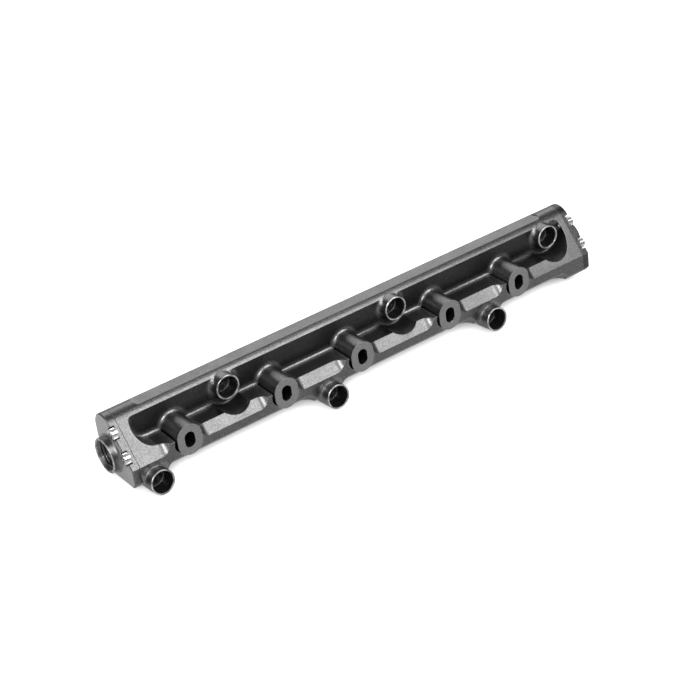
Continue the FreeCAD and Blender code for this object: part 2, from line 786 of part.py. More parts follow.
def cut_link(body, side):
    """Recess that joins both galleries to the port, with the seal's groove round it."""
    outward = SIDES[side]["sign"] > 0
    low, high = link_line()
    recess = new_sketch(body, "Link", "YZ_Plane", off=SIDES[side]["inner"])
    draw_obround(recess, low, high, "Sizes.link_radius")
    extrude(body, "LinkCut", "Pocket", recess, "Sizes.link_depth", outward)
    groove = new_sketch(body, "SealGroove", "YZ_Plane", off=SIDES[side]["inner"])
    draw_obround(groove, low, high, "Sizes.seal_inner")
    draw_obround(groove, low, high, "(Sizes.seal_inner + Sizes.seal_width)")
    extrude(body, "SealGrooveCut", "Pocket", groove, "Sizes.seal_depth", outward)


def cut_screw_seats(body, side):
    """Clearance holes, two seats milled in from the slanted face and one plain counterbore."""
    outward = SIDES[side]["sign"] > 0
    holes = new_sketch(body, "ScrewHoles", "YZ_Plane", off=SIDES[side]["inner"])
    for across, up in screw_places().values():
        draw_circle(holes, across, up, "Sizes.screw_clear_radius")
    extrude(body, "ScrewHolesCut", "Pocket", holes, "Sizes.cap_thickness", outward)
    face = beyond(side, "Sizes.cap_thickness")
    for name in ("upper", "front"):
        across, up = screw_places()[name]
        seat = new_sketch(body, f"Seat{name.title()}", "YZ_Plane", off=face)
        reach = "Sizes.top_radius"
        outside = (
            f"({across} - {reach} * sin({SLANT_LEAN}))",
            f"({up} + {reach} * cos({SLANT_LEAN}))",
        )
        draw_obround(seat, (across, up), outside, "Sizes.notch_radius")
        extrude(body, f"Seat{name.title()}Cut", "Pocket", seat, "Sizes.notch_depth", not outward)
    seat = new_sketch(body, "SeatLower", "YZ_Plane", off=face)
    draw_circle(seat, *screw_places()["lower"], "Sizes.counterbore_radius")
    extrude(body, "SeatLowerCut", "Pocket", seat, "Sizes.notch_depth", not outward)


def break_cap_edge(body, side, name, distance, size):
    """Small bevel round the face of the cap that lies at a distance from the rail's end."""
    before = body.Shape.Volume
    base = body.Tip
    place = number(body, beyond(side, distance))
    face_name = max(
        (
            (face.Area, f"Face{index}")
            for index, face in enumerate(base.Shape.Faces, start=1)
            if face.BoundBox.XLength < 1e-6 and abs(face.BoundBox.XMin - place) < 1e-6
        )
    )[1]
    bevel = body.newObject("PartDesign::Chamfer", name)
    bevel.Base = (base, [face_name])
    bevel.Size = number(bevel, size)
    bevel.setExpression("Size", size)
    check_step(body, before, False)


def make_end_cap(side):
    """End cap: a plate of the rail's section that carries the threaded port."""
    body = new_body(f"end_cap_{side}")
    plate = new_sketch(body, "Plate", "YZ_Plane", off=SIDES[side]["inner"])
    draw_outline(plate, section_corners(False))
    extrude(body, "PlatePad", "Pad", plate, "Sizes.cap_thickness", SIDES[side]["sign"] < 0)
    break_cap_edge(body, side, "CapEdge", "Sizes.cap_thickness", "Sizes.cap_edge")
    break_cap_edge(body, side, "SeamEdge", "0", "Sizes.seam_edge")
    add_collar(body, side)
    cut_screw_seats(body, side)
    cut_port(body, side)
    cut_link(body, side)
    return body


def make_cap_seal(side):
    """Rubber seal in the cap's groove, pressed against the rail's end."""
    body = new_body(f"cap_seal_{side}")
    low, high = link_line()
    ring = new_sketch(body, "Ring", "YZ_Plane", off=SIDES[side]["inner"])
    draw_obround(ring, low, high, "(Sizes.seal_inner + Sizes.seal_side_gap)")
    draw_obround(ring, low, high, "(Sizes.seal_inner + Sizes.seal_width - Sizes.seal_side_gap)")
    extrude(body, "RingPad", "Pad", ring, "Sizes.seal_depth", SIDES[side]["sign"] < 0)
    return body


def make_cap_screw(side, name):
    """Socket head screw in its seat; its thread is left to the looks."""
    body = new_body(f"cap_screw_{side}_{name}")
    across, up = screw_places()[name]
    turn = "0 deg" if SIDES[side]["sign"] > 0 else "180 deg"
    seat = beyond(side, "(Sizes.cap_thickness - Sizes.notch_depth)")
    section = new_sketch(body, "ScrewSection", "XY_Plane", seat, across, up, turn)
    draw_outline(
        section,
        [
            ("(-1 * Sizes.screw_length)", "0"),
            ("Sizes.screw_head_height", "0"),
            ("Sizes.screw_head_height", "(Sizes.screw_head_radius - Sizes.screw_head_edge)"),
            ("(Sizes.screw_head_height - Sizes.screw_head_edge)", "Sizes.screw_head_radius"),
            ("0", "Sizes.screw_head_radius"),
            ("0", "Sizes.screw_thread_radius"),
            ("(-1 * Sizes.screw_length)", "Sizes.screw_thread_radius"),
        ],
    )
    revolve(body, "ScrewForm", "Revolution", section)
    top = beyond(side, "(Sizes.cap_thickness - Sizes.notch_depth + Sizes.screw_head_height)")
    hexagon = new_sketch(body, "Socket", "YZ_Plane", across, up, top)
    corner = "(0.5 * Sizes.socket_width / cos(30))"
    corners = [
        (f"({corner} * cos({60 * index}))", f"({corner} * sin({60 * index}))")
        for index in range(6)
    ]
    draw_outline(hexagon, corners)
    outward = SIDES[side]["sign"] > 0
    extrude(body, "SocketCut", "Pocket", hexagon, "Sizes.socket_depth", not outward)
    return body


def main():
    """Build every piece, check it and write it out."""
    make_sheet()
    pieces = [make_rail_body()]
    for side in SIDES:
        pieces += [make_end_cap(side), make_cap_seal(side)]
        pieces += [make_cap_screw(side, name) for name in screw_places()]
    document.recompute()
    check_states()
    os.makedirs("parts", exist_ok=True)
    for piece in pieces:
        shape = piece.Shape
        if shape.isNull() or not shape.isValid() or len(shape.Solids) != 1:
            raise RuntimeError(f"{piece.Label} is not one valid solid")
        shape.exportStep(f"parts/{piece.Label}.step")
        box = shape.BoundBox
        print(piece.Label, round(shape.Volume, 1), [round(size, 2) for size in
              (box.XMin, box.XMax, box.YMin, box.YMax, box.ZMin, box.ZMax)])


main()
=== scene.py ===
"""Looks of the milled fuel rail: its finishes, threads and knurls, the studio and the camera."""

import enum
import logging
import math
from dataclasses import dataclass

import bmesh
import bpy
from mathutils import Matrix, Vector


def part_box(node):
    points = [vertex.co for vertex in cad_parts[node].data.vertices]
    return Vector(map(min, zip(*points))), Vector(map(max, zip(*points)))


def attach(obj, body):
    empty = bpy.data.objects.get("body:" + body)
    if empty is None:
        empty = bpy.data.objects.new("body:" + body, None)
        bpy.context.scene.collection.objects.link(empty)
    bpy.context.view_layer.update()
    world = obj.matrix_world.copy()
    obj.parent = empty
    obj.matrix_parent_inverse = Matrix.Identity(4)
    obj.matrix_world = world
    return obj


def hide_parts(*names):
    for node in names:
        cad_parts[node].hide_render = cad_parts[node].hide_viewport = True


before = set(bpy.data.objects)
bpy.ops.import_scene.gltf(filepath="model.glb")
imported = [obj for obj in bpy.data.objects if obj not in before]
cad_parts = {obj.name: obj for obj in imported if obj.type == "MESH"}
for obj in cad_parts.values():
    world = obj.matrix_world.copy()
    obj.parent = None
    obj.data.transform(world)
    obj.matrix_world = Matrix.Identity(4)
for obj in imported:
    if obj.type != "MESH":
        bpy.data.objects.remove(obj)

log = logging.getLogger("fuel_rail")
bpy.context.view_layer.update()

MM = 0.001
QUARTER_TURN = math.pi / 2
WHITE = (1, 1, 1, 1)

# Corners of triangles nearer than this are one corner.
MERGE_DISTANCE = 0.0005 * MM
# Faces that meet at less than this are one curved face.
SMOOTH_LIMIT = math.radians(31)
# How well a face has to agree with a plane's normal and distance to lie in it.
SAME_DIRECTION = 0.9995
SAME_DISTANCE = 0.02 * MM

# Where most values of a noise texture lie.
NOISE = (0.3, 0.7)

# Section of the thread's ridge, a triangle drawn in a round: how far the round's middle stands off
# the bore's wall and its radius, as shares of the ridge's height, and its radius along the thread,
# as a share of the pitch. The triangle's base is sunk into the wall by an eighth of the height.
RIDGE_MIDDLE = 0.25
RIDGE_RADIUS = 0.75
RIDGE_WIDTH = 0.54


class Side(enum.Enum):
    """The two ends of the rail, with the direction that each faces along X."""

    LEFT = -1
    RIGHT = 1

    @property
    def word(self) -> str:
        """Name of the end as the nodes spell it."""
        return self.name.lower()


class Slot(enum.Enum):
    """Material slots of the record."""

    ANODISED = "anodised_black"
    STEEL = "screw_steel"
    RUBBER = "seal_rubber"


class Blend(enum.Enum):
    """Kinds of blend, each with the numbers of the Mix node's two inputs and of its output."""

    VECTOR = (4, 5, 1)
    RGBA = (6, 7, 2)


class NodeBuilder:
    """A node tree whose nodes are added one after another."""

    def __init__(self, tree: bpy.types.NodeTree) -> None:
        """Take over a tree.

        Args:
            tree: The node tree.
        """
        self.tree = tree

    def add(self, kind: str, **sockets: object) -> bpy.types.Node:
        """Add a node and set or link its input sockets.

        Args:
            kind: Full node type.
            **sockets: Input names, with blanks as underscores, and a value or an output.

        Returns:
            The new node.
        """
        node = self.tree.nodes.new(kind)
        for name, value in sockets.items():
            self.set(node, name.replace("_", " "), value)
        return node

    def set(self, node: bpy.types.Node, socket: str | int, value: object) -> None:
        """Set one input of a node, or link it to an output.

        Args:
            node: The node.
            socket: The input's name or number.
            value: A value, or the output socket to link.
        """
        target = node.inputs[socket]
        if isinstance(value, bpy.types.NodeSocket):
            self.tree.links.new(value, target)
        else:
            target.default_value = value

    def work_out(self, operation: str, first: object, second: object) -> bpy.types.NodeSocket:
        """Work out one number from two.

        Args:
            operation: The Math node's operation.
            first: An output or a number.
            second: An output or a number.

        Returns:
            The result.
        """
        node = self.add("ShaderNodeMath")
        node.operation = operation
        self.set(node, 0, first)
        self.set(node, 1, second)
        return node.outputs[0]

    def ramp(self, source: bpy.types.NodeSocket, low: float, high: float,
             dark: object, light: float) -> bpy.types.NodeSocket:
        """Spread a value between two limits.

        Args:
            source: The output that is spread.
            low: Source value that gives dark.
            high: Source value that gives light.
            dark: Result at low, a number or an output.
            light: Result at high.

        Returns:
            The spread value.
        """
        node = self.add("ShaderNodeMapRange", Value=source, From_Min=low, From_Max=high,
                        To_Min=dark, To_Max=light)
        return node.outputs["Result"]


class Shader(NodeBuilder):
    """The node tree of a new material."""

    def __init__(self, name: str) -> None:
        """Start an empty material with its output.

        Args:
            name: Name of the material.
        """
        self.material = bpy.data.materials.new(name)
        self.material.use_nodes = True
        super().__init__(self.material.node_tree)
        self.tree.nodes.clear()
        self.output = self.add("ShaderNodeOutputMaterial")

    def place(self) -> bpy.types.NodeSocket:
        """Place on the piece itself, by which the patterns are laid out."""
        return self.add("ShaderNodeTexCoord").outputs["Object"]

    def noise(self, place: bpy.types.NodeSocket, grain: float,
              detail: float) -> bpy.types.NodeSocket:
        """Spread a noise over the piece.

        Args:
            place: Place on the piece.
            grain: Size of its grains.
            detail: How many finer noises lie in it.

        Returns:
            The noise.
        """
        node = self.add("ShaderNodeTexNoise", Vector=place, Scale=1 / grain, Detail=detail)
        return node.outputs["Fac"]

    def rounded(self, radius: float, samples: int) -> bpy.types.NodeSocket:
        """Round the edges.

        Args:
            radius: Radius of the rounds.
            samples: How many rays look for an edge.

        Returns:
            The normal with rounded edges.
        """
        node = self.add("ShaderNodeBevel", Radius=radius)
        node.samples = samples
        return node.outputs["Normal"]

    def openness(self, reach: float, samples: int, own: bool) -> bpy.types.NodeSocket:
        """Find how open each place lies.

        Args:
            reach: How near a surface has to be to shut a place in.
            samples: How many rays look for one.
            own: Whether only the piece itself counts.

        Returns:
            1 in the open and 0 where the place is shut in.
        """
        node = self.add("ShaderNodeAmbientOcclusion", Distance=reach)
        node.samples = samples
        node.only_local = own
        return node.outputs["AO"]

    def bump(self, height: bpy.types.NodeSocket, depth: float, strength: float = 1.0,
             normal: bpy.types.NodeSocket | None = None) -> bpy.types.NodeSocket:
        """Raise and sink the surface by a pattern.

        Args:
            height: The pattern.
            depth: How high 1 stands.
            strength: Share of the pattern that shows.
            normal: Normal of the surface below it, where that isn't the piece's own.

        Returns:
            The normal.
        """
        node = self.add("ShaderNodeBump", Height=height, Distance=depth, Strength=strength)
        if normal is not None:
            self.set(node, "Normal", normal)
        return node.outputs["Normal"]

    def mix(self, amount: bpy.types.NodeSocket, first: object, second: object,
            blend: Blend = Blend.RGBA) -> bpy.types.NodeSocket:
        """Blend two colours or two normals.

        Args:
            amount: Share of the second one.
            first: A colour or an output.
            second: A colour or an output.
            blend: Which of the two is blended.

        Returns:
            The blend.
        """
        node = self.add("ShaderNodeMix")
        node.data_type = blend.name
        self.set(node, 0, amount)
        one, other, result = blend.value
        for number, value in ((one, first), (other, second)):
            self.set(node, number, (*value, 1) if isinstance(value, tuple) else value)
        return node.outputs[result]

    def finish(self, surface: bpy.types.Node) -> bpy.types.Material:
        """Link the surface shader to the output.

        Args:
            surface: The last shader node.

        Returns:
            The finished material.
        """
        self.set(self.output, "Surface", surface.outputs[0])
        return self.material


@dataclass(frozen=True)
class Plane:
    """A plane of the rail as it lies: its normal and its distance from the origin."""

    normal: tuple[float, float, float]
    distance: float

    def holds(self, centre: Vector, normal: Vector) -> bool:
        """Say whether a face lies in the plane.

        Args:
            centre: Centre of the face.
            normal: Normal of the face.

        Returns:
            True if it does.
        """
        facing = Vector(self.normal)
        off = abs(centre.dot(facing) - self.distance)
        return normal.dot(facing) > SAME_DIRECTION and off < SAME_DISTANCE


BOSS_FACES = Plane((0.0, -0.98007, 0.19863), 19.300 * MM)
POCKET_WALL = Plane((0.0, -0.98007, 0.19863), -1.000 * MM)
LEDGE = Plane((0.0, 0.19863, 0.98007), 24.393 * MM)
CROWN_FLAT = Plane((0.0, 0.19863, 0.98007), 44.593 * MM)


@dataclass(frozen=True)
class Rim:
    """The flat ring at the mouth of a cup or a collar."""

    middle: Vector
    axis: Vector
    radius: float
    reach: float

    def holds(self, centre: Vector, _normal: Vector) -> bool:
        """Say whether a face belongs to the rim.

        Args:
            centre: Centre of the face.
            _normal: Normal of the face, which may point any way.

        Returns:
            True if it does.
        """
        offset = centre - self.middle
        along = offset.dot(self.axis)
        return abs(along) < self.reach and (offset - self.axis * along).length < self.radius


@dataclass(frozen=True)
class AnodisedBlack:
    """Satin black anodising over a finely blasted surface, its edges painted lighter, partly as
    wear and partly as a painted highlight.
    """

    name: str = "satin_black_anodising"
    colour: tuple[float, float, float] = (0.0025, 0.0025, 0.0027)
    # Lighter grey along the edges: partly wear, partly a painted highlight where the edges catch
    # the lamps.
    worn_colour: tuple[float, float, float] = (0.22, 0.22, 0.225)
    grain: float = 0.95 * MM
    grain_range: tuple[float, float] = (0.32, 0.68)
    grain_height: float = 0.050 * MM
    blotch: float = 14 * MM
    edge: float = 0.45 * MM
    # Cosine of the turn from the flat to the rounded normal: the lighter edge colour, partly wear
    # and partly painted highlight, starts at the first and is full at the second.
    edge_turn: tuple[float, float] = (0.97, 0.80)
    patch_range: tuple[float, float] = (0.35, 0.65)
    patch_wear: tuple[float, float] = (0.55, 1.0)
    root: float = 2.8 * MM
    root_reach: float = 4.0 * MM
    root_openness: tuple[float, float] = (0.97, 0.80)
    roughness: tuple[float, float] = (0.31, 0.39)
    oxide_ior: float = 1.77
    shine: tuple[float, float] = (0.46, 0.84)
    # Shine away from inside corners; the pocket's finish sets it below 1 as painted shade.
    flat_shine: float = 1.0
    # Painted highlight: more shine in inside corners, so that the fillets show bright lines.
    root_shine: float = 1.9
    # Painted shade: less shine where a place lies deep in a bore.
    bore_shine: float = 0.027
    bore_reach: float = 12 * MM
    bore_openness: tuple[float, float] = (0.30, 0.60)

    def material(self) -> bpy.types.Material:
        """Build the finish.

        Returns:
            The material.
        """
        shader = Shader(self.name)
        place = shader.place()
        grain = shader.noise(place, self.grain, detail=3.0)
        blotch = shader.noise(place, self.blotch, detail=4.0)
        edges = shader.rounded(self.edge, samples=6)
        at_root = shader.ramp(
            shader.openness(self.root_reach, samples=8, own=True), *self.root_openness, 0.0, 1.0
        )
        roots = shader.rounded(self.root, samples=8)
        normal = shader.mix(at_root, edges, roots, Blend.VECTOR)
        # Painted highlight: more shine in inside corners.
        root_highlight = shader.ramp(at_root, 0.0, 1.0, self.flat_shine, self.root_shine)
        # Painted shade: less shine deep in bores.
        bore_shade = shader.ramp(
            shader.openness(self.bore_reach, samples=8, own=True),
            *self.bore_openness, self.bore_shine, 1.0
        )
        shine = shader.ramp(grain, *self.grain_range, *self.shine)
        shine = shader.work_out("MULTIPLY", shine, root_highlight)
        body = shader.add(
            "ShaderNodeBsdfPrincipled",
            Base_Color=shader.mix(
                self.wear(shader, edges, blotch), self.colour, self.worn_colour
            ),
            Roughness=shader.ramp(blotch, *NOISE, *self.roughness),
            Normal=shader.bump(grain, self.grain_height, normal=normal),
            Specular_IOR_Level=shader.work_out("MULTIPLY", shine, bore_shade),
            IOR=self.oxide_ior,
        )
        return shader.finish(body)

    def wear(self, shader: Shader, edges: bpy.types.NodeSocket,
             patches: bpy.types.NodeSocket) -> bpy.types.NodeSocket:
        """Find the edges, which are painted lighter in patches, partly as wear and partly as a
        painted highlight.

        Args:
            shader: The material in work.
            edges: Normal with rounded edges.
            patches: Slow noise.

        Returns:
            Share of the lighter edge colour, from 0 to 1.
        """
        turned = shader.add("ShaderNodeVectorMath")
        turned.operation = "DOT_PRODUCT"
        shader.set(turned, 0, edges)
        shader.set(turned, 1, shader.add("ShaderNodeNewGeometry").outputs["Normal"])
        at_edge = shader.ramp(turned.outputs["Value"], *self.edge_turn, 0.0, 1.0)
        in_patch = shader.ramp(patches, *self.patch_range, *self.patch_wear)
        return shader.work_out("MULTIPLY", at_edge, in_patch)


@dataclass(frozen=True)
class TurnedRim:
    """Rims turned last, painted lighter grey than the anodising: partly bare metal where the
    anodising is rubbed thin, partly a painted highlight.
    """

    # Grey over the whole rim: partly bare metal, partly a painted highlight.
    colour: tuple[float, float, float] = (0.16, 0.16, 0.16)
    bare_colour: tuple[float, float, float] = (0.42, 0.42, 0.41)
    patch: float = 3.5 * MM
    patch_range: tuple[float, float] = (0.40, 0.60)
    mark: float = 0.15 * MM
    mark_depth: float = 0.01 * MM
    mark_strength: float = 0.3
    edge: float = 0.25 * MM
    roughness: tuple[float, float] = (0.24, 0.36)
    metal: float = 0.6

    def material(self) -> bpy.types.Material:
        """Build the finish.

        Returns:
            The material.
        """
        shader = Shader("turned_rim")
        place = shader.place()
        patches = shader.noise(place, self.patch, detail=3.0)
        marks = shader.noise(place, self.mark, detail=2.0)
        edges = shader.rounded(self.edge, samples=4)
        bare = shader.ramp(patches, *self.patch_range, 0.0, 1.0)
        body = shader.add(
            "ShaderNodeBsdfPrincipled",
            Base_Color=shader.mix(bare, self.colour, self.bare_colour),
            Roughness=shader.ramp(marks, *NOISE, *self.roughness),
            Normal=shader.bump(marks, self.mark_depth, self.mark_strength, edges),
            Metallic=self.metal,
        )
        return shader.finish(body)


@dataclass(frozen=True)
class StainlessSteel:
    """Plain turned stainless steel with fine turning marks."""

    colour: tuple[float, float, float] = (0.62, 0.61, 0.59)
    mark: float = 0.12 * MM
    mark_depth: float = 0.01 * MM
    mark_strength: float = 0.25
    roughness: tuple[float, float] = (0.22, 0.34)

    def material(self) -> bpy.types.Material:
        """Build the finish.

        Returns:
            The material.
        """
        shader = Shader("turned_stainless")
        marks = shader.noise(shader.place(), self.mark, detail=2.0)
        body = shader.add(
            "ShaderNodeBsdfPrincipled",
            Base_Color=(*self.colour, 1),
            Roughness=shader.ramp(marks, *NOISE, *self.roughness),
            Normal=shader.bump(marks, self.mark_depth, self.mark_strength),
            Metallic=1.0,
        )
        return shader.finish(body)


@dataclass(frozen=True)
class SealRubber:
    """Matt black sealing rubber."""

    colour: tuple[float, float, float] = (0.018, 0.018, 0.018)
    grain: float = 0.25 * MM
    grain_height: float = 0.02 * MM
    roughness: tuple[float, float] = (0.6, 0.8)

    def material(self) -> bpy.types.Material:
        """Build the finish.

        Returns:
            The material.
        """
        shader = Shader("sealing_rubber")
        grain = shader.noise(shader.place(), self.grain, detail=2.0)
        body = shader.add(
            "ShaderNodeBsdfPrincipled",
            Base_Color=(*self.colour, 1),
            Roughness=shader.ramp(grain, *NOISE, *self.roughness),
            Normal=shader.bump(grain, self.grain_height),
        )
        return shader.finish(body)


@dataclass(frozen=True)
class FloorPaper:
    """White studio paper, shown as pure white except where the rail nearly touches it."""

    colour: tuple[float, float, float] = (0.45, 0.45, 0.45)
    mirrored_glow: float = 0.20
    shadow_reach: float = 14 * MM
    # From this openness on the paper is pure white.
    white_from: float = 0.50

    def material(self) -> bpy.types.Material:
        """Build the finish.

        Returns:
            The material.
        """
        shader = Shader("studio_paper")
        paper = shader.add("ShaderNodeBsdfDiffuse", Color=(*self.colour, 1))
        ray = shader.add("ShaderNodeLightPath")
        open_air = shader.openness(self.shadow_reach, samples=12, own=False)
        spread = shader.ramp(open_air, 0.0, self.white_from, 0.0, 1.0)
        shown = shader.work_out("MULTIPLY", ray.outputs["Is Camera Ray"], spread)
        glossy = ray.outputs["Is Glossy Ray"]
        mirrored = shader.ramp(glossy, 0.0, 1.0, 0.0, self.mirrored_glow)
        strength = shader.work_out("ADD", shown, mirrored)
        glow = shader.add("ShaderNodeEmission", Strength=strength, Color=WHITE)
        both = shader.add("ShaderNodeAddShader")
        shader.set(both, 0, paper.outputs[0])
        shader.set(both, 1, glow.outputs[0])
        return shader.finish(both)


class GeometryTree(NodeBuilder):
    """A Geometry Nodes tree that grows a piece of its own."""

    def __init__(self, name: str, inputs: dict[str, str]) -> None:
        """Start a tree with its inputs and its output.

        Args:
            name: Name of the tree.
            inputs: Socket type, without its NodeSocket prefix, by input name.
        """
        super().__init__(bpy.data.node_groups.new(name, "GeometryNodeTree"))
        for label, kind in inputs.items():
            self.tree.interface.new_socket(label, in_out="INPUT", socket_type="NodeSocket" + kind)
        self.tree.interface.new_socket(
            "Geometry", in_out="OUTPUT", socket_type="NodeSocketGeometry"
        )
        self.entry = self.add("NodeGroupInput").outputs
        self.exit = self.add("NodeGroupOutput")

    def close(self, geometry: bpy.types.NodeSocket) -> None:
        """Realise the instances, give them the finish and end the tree.

        Args:
            geometry: The geometry to hand out.
        """
        real = self.add("GeometryNodeRealizeInstances", Geometry=geometry)
        dressed = self.add(
            "GeometryNodeSetMaterial", Geometry=real.outputs[0], Material=self.entry["Material"]
        )
        self.set(self.exit, 0, dressed.outputs[0])

    def grow(self, name: str, values: dict[str, object], turn: Matrix,
             slot: Slot) -> bpy.types.Object:
        """Evaluate the tree into a piece that rides on the rail.

        Args:
            name: Name of the piece.
            values: Value by input name.
            turn: Place of the grown mesh.
            slot: Material slot that the piece stands for; not used.

        Returns:
            The piece, with its place in its mesh.
        """
        seed = bpy.data.objects.new(name + "_seed", bpy.data.meshes.new(name + "_seed"))
        bpy.context.scene.collection.objects.link(seed)
        grower = seed.modifiers.new("grow", "NODES")
        grower.node_group = self.tree
        for item in self.tree.interface.items_tree:
            if item.in_out == "INPUT":
                grower[item.identifier] = values[item.name]
        graph = bpy.context.evaluated_depsgraph_get()
        mesh = bpy.data.meshes.new_from_object(seed.evaluated_get(graph))
        bpy.data.objects.remove(seed)
        mesh.transform(turn)
        mesh.name = name
        piece = bpy.data.objects.new(name, mesh)
        bpy.context.scene.collection.objects.link(piece)
        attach(piece, "root")
        return piece


def thread_tree() -> GeometryTree:
    """Tree of an inside thread: a pointed ridge that winds up round Z.

    Returns:
        The tree.
    """
    made = GeometryTree(
        "inside_thread",
        {
            "Bore Radius": "Float",
            "Ridge Height": "Float",
            "Pitch": "Float",
            "Turns": "Float",
            "Steps": "Int",
            "Material": "Material",
        },
    )
    ridge, pitch, turns = (made.entry[name] for name in ("Ridge Height", "Pitch", "Turns"))
    inset = made.work_out("MULTIPLY", ridge, RIDGE_MIDDLE)
    middle = made.work_out("SUBTRACT", made.entry["Bore Radius"], inset)
    winding = made.add(
        "GeometryNodeCurveSpiral",
        Resolution=made.entry["Steps"],
        Rotations=turns,
        Start_Radius=middle,
        End_Radius=middle,
        Height=made.work_out("MULTIPLY", pitch, turns),
    )
    level = made.add("GeometryNodeSetCurveNormal", Curve=winding.outputs[0])
    level.mode = "Z_UP"
    triangle = made.add("GeometryNodeCurvePrimitiveCircle", Resolution=3, Radius=1.0)
    size = made.add(
        "ShaderNodeCombineXYZ",
        X=made.work_out("MULTIPLY", ridge, RIDGE_RADIUS),
        Y=made.work_out("MULTIPLY", pitch, RIDGE_WIDTH),
        Z=1.0,
    )
    section = made.add(
        "GeometryNodeTransform", Geometry=triangle.outputs[0], Scale=size.outputs[0]
    )
    swept = made.add(
        "GeometryNodeCurveToMesh",
        Curve=level.outputs[0],
        Profile_Curve=section.outputs[0],
        Fill_Caps=True,
    )
    made.close(swept.outputs[0])
    return made


def knurl_tree() -> GeometryTree:
    """Tree of a straight knurl: upright ridges round a head that stands along Z.

    Returns:
        The tree.
    """
    made = GeometryTree(
        "straight_knurl",
        {
            "Head Radius": "Float",
            "Ridge Width": "Float",
            "Height": "Float",
            "Ridges": "Int",
            "Material": "Material",
        },
    )
    ring = made.add(
        "GeometryNodeMeshCircle",
        Vertices=made.entry["Ridges"],
        Radius=made.entry["Head Radius"],
    )
    ridge = made.add(
        "GeometryNodeMeshCylinder",
        Vertices=3,
        Radius=made.entry["Ridge Width"],
        Depth=made.entry["Height"],
    )
    outward = made.add("GeometryNodeInputPosition")
    facing = made.add("FunctionNodeAlignRotationToVector", Vector=outward.outputs[0])
    facing.axis = "X"
    placed = made.add(
        "GeometryNodeInstanceOnPoints",
        Points=ring.outputs[0],
        Instance=ridge.outputs[0],
        Rotation=facing.outputs[0],
    )
    made.close(placed.outputs[0])
    return made


def smooth_copy(node: str, finish: bpy.types.Material) -> bpy.types.Object:
    """Copy a node with its triangles merged and its curved faces shaded smooth.

    Args:
        node: Name of the node.
        finish: Finish of the copy.

    Returns:
        The piece, which replaces the node.
    """
    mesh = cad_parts[node].data.copy()
    form = bmesh.new()
    form.from_mesh(mesh)
    bmesh.ops.remove_doubles(form, verts=form.verts, dist=MERGE_DISTANCE)
    flat = set()
    for face in form.faces:
        face.smooth = True
        if CROWN_FLAT.holds(face.calc_center_median(), face.normal):
            flat.add(face)
    for edge in form.edges:
        faces = edge.link_faces
        border = len(faces) == 2 and (faces[0] in flat) != (faces[1] in flat)
        curved = len(faces) == 2 and edge.calc_face_angle(0) < SMOOTH_LIMIT
        edge.smooth = curved and not border
    form.to_mesh(mesh)
    form.free()
    mesh.materials.clear()
    mesh.materials.append(finish)
    if mesh.attributes.get("custom_normal"):
        mesh.attributes.remove(mesh.attributes["custom_normal"])
    piece = bpy.data.objects.new(node + "_finished", mesh)
    bpy.context.scene.collection.objects.link(piece)
    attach(piece, "root")
    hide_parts(node)
    return piece


def paint(piece: bpy.types.Object, finish: bpy.types.Material, region: Plane | Rim) -> None:
    """Give some faces of a piece their own finish.

    Args:
        piece: The piece that has the faces.
        finish: Finish of the faces.
        region: What the faces lie in.
    """
    mesh = piece.data
    if finish.name not in mesh.materials:
        mesh.materials.append(finish)
    index = mesh.materials.find(finish.name)
    for face in mesh.polygons:
        if region.holds(face.center, face.normal):
            face.material_index = index


@dataclass(frozen=True)
class Finishes:
    """The finishes that the pieces share."""

    anodised: bpy.types.Material
    pocket: bpy.types.Material
    boss: bpy.types.Material
    cap: bpy.types.Material
    right_cap: bpy.types.Material
    rim: bpy.types.Material
    steel: bpy.types.Material
    rubber: bpy.types.Material


def make_finishes() -> Finishes:
    """Build all finishes.

    Returns:
        The finishes.
    """
    return Finishes(
        anodised=AnodisedBlack().material(),
        # Pocket wall and ledge: less shine, as painted shade in the recess.
        pocket=AnodisedBlack("milled_pocket", flat_shine=0.30).material(),
        # Boss faces: lighter grey, as a painted reflection.
        boss=AnodisedBlack("milled_boss_face", colour=(0.072, 0.072, 0.073)).material(),
        # Cap end faces: lighter grey, as painted light where the lamps fall on them.
        cap=AnodisedBlack("milled_cap_face", colour=(0.17, 0.17, 0.171)).material(),
        # Right cap: a copy with less shine, so that it renders darker than the left.
        right_cap=AnodisedBlack("right_cap_anodising", shine=(0.20, 0.38)).material(),
        # Rims: lighter grey, partly bare metal and partly a painted highlight.
        rim=TurnedRim().material(),
        steel=StainlessSteel().material(),
        rubber=SealRubber().material(),
    )


@dataclass(frozen=True)
class CupRow:
    """One row of injector cups."""

    first: float
    mouth: tuple[float, float]
    lean: float
    pitch: float = 130.0 * MM
    count: int = 3
    rim_radius: float = 8.4 * MM
    rim_reach: float = 0.35 * MM

    @property
    def rims(self) -> list[Rim]:
        """The rim of each cup."""
        axis = Vector((0.0, -math.cos(self.lean), math.sin(self.lean)))
        middles = [Vector((self.first + i * self.pitch, *self.mouth)) for i in range(self.count)]
        return [Rim(middle, axis, self.rim_radius, self.rim_reach) for middle in middles]


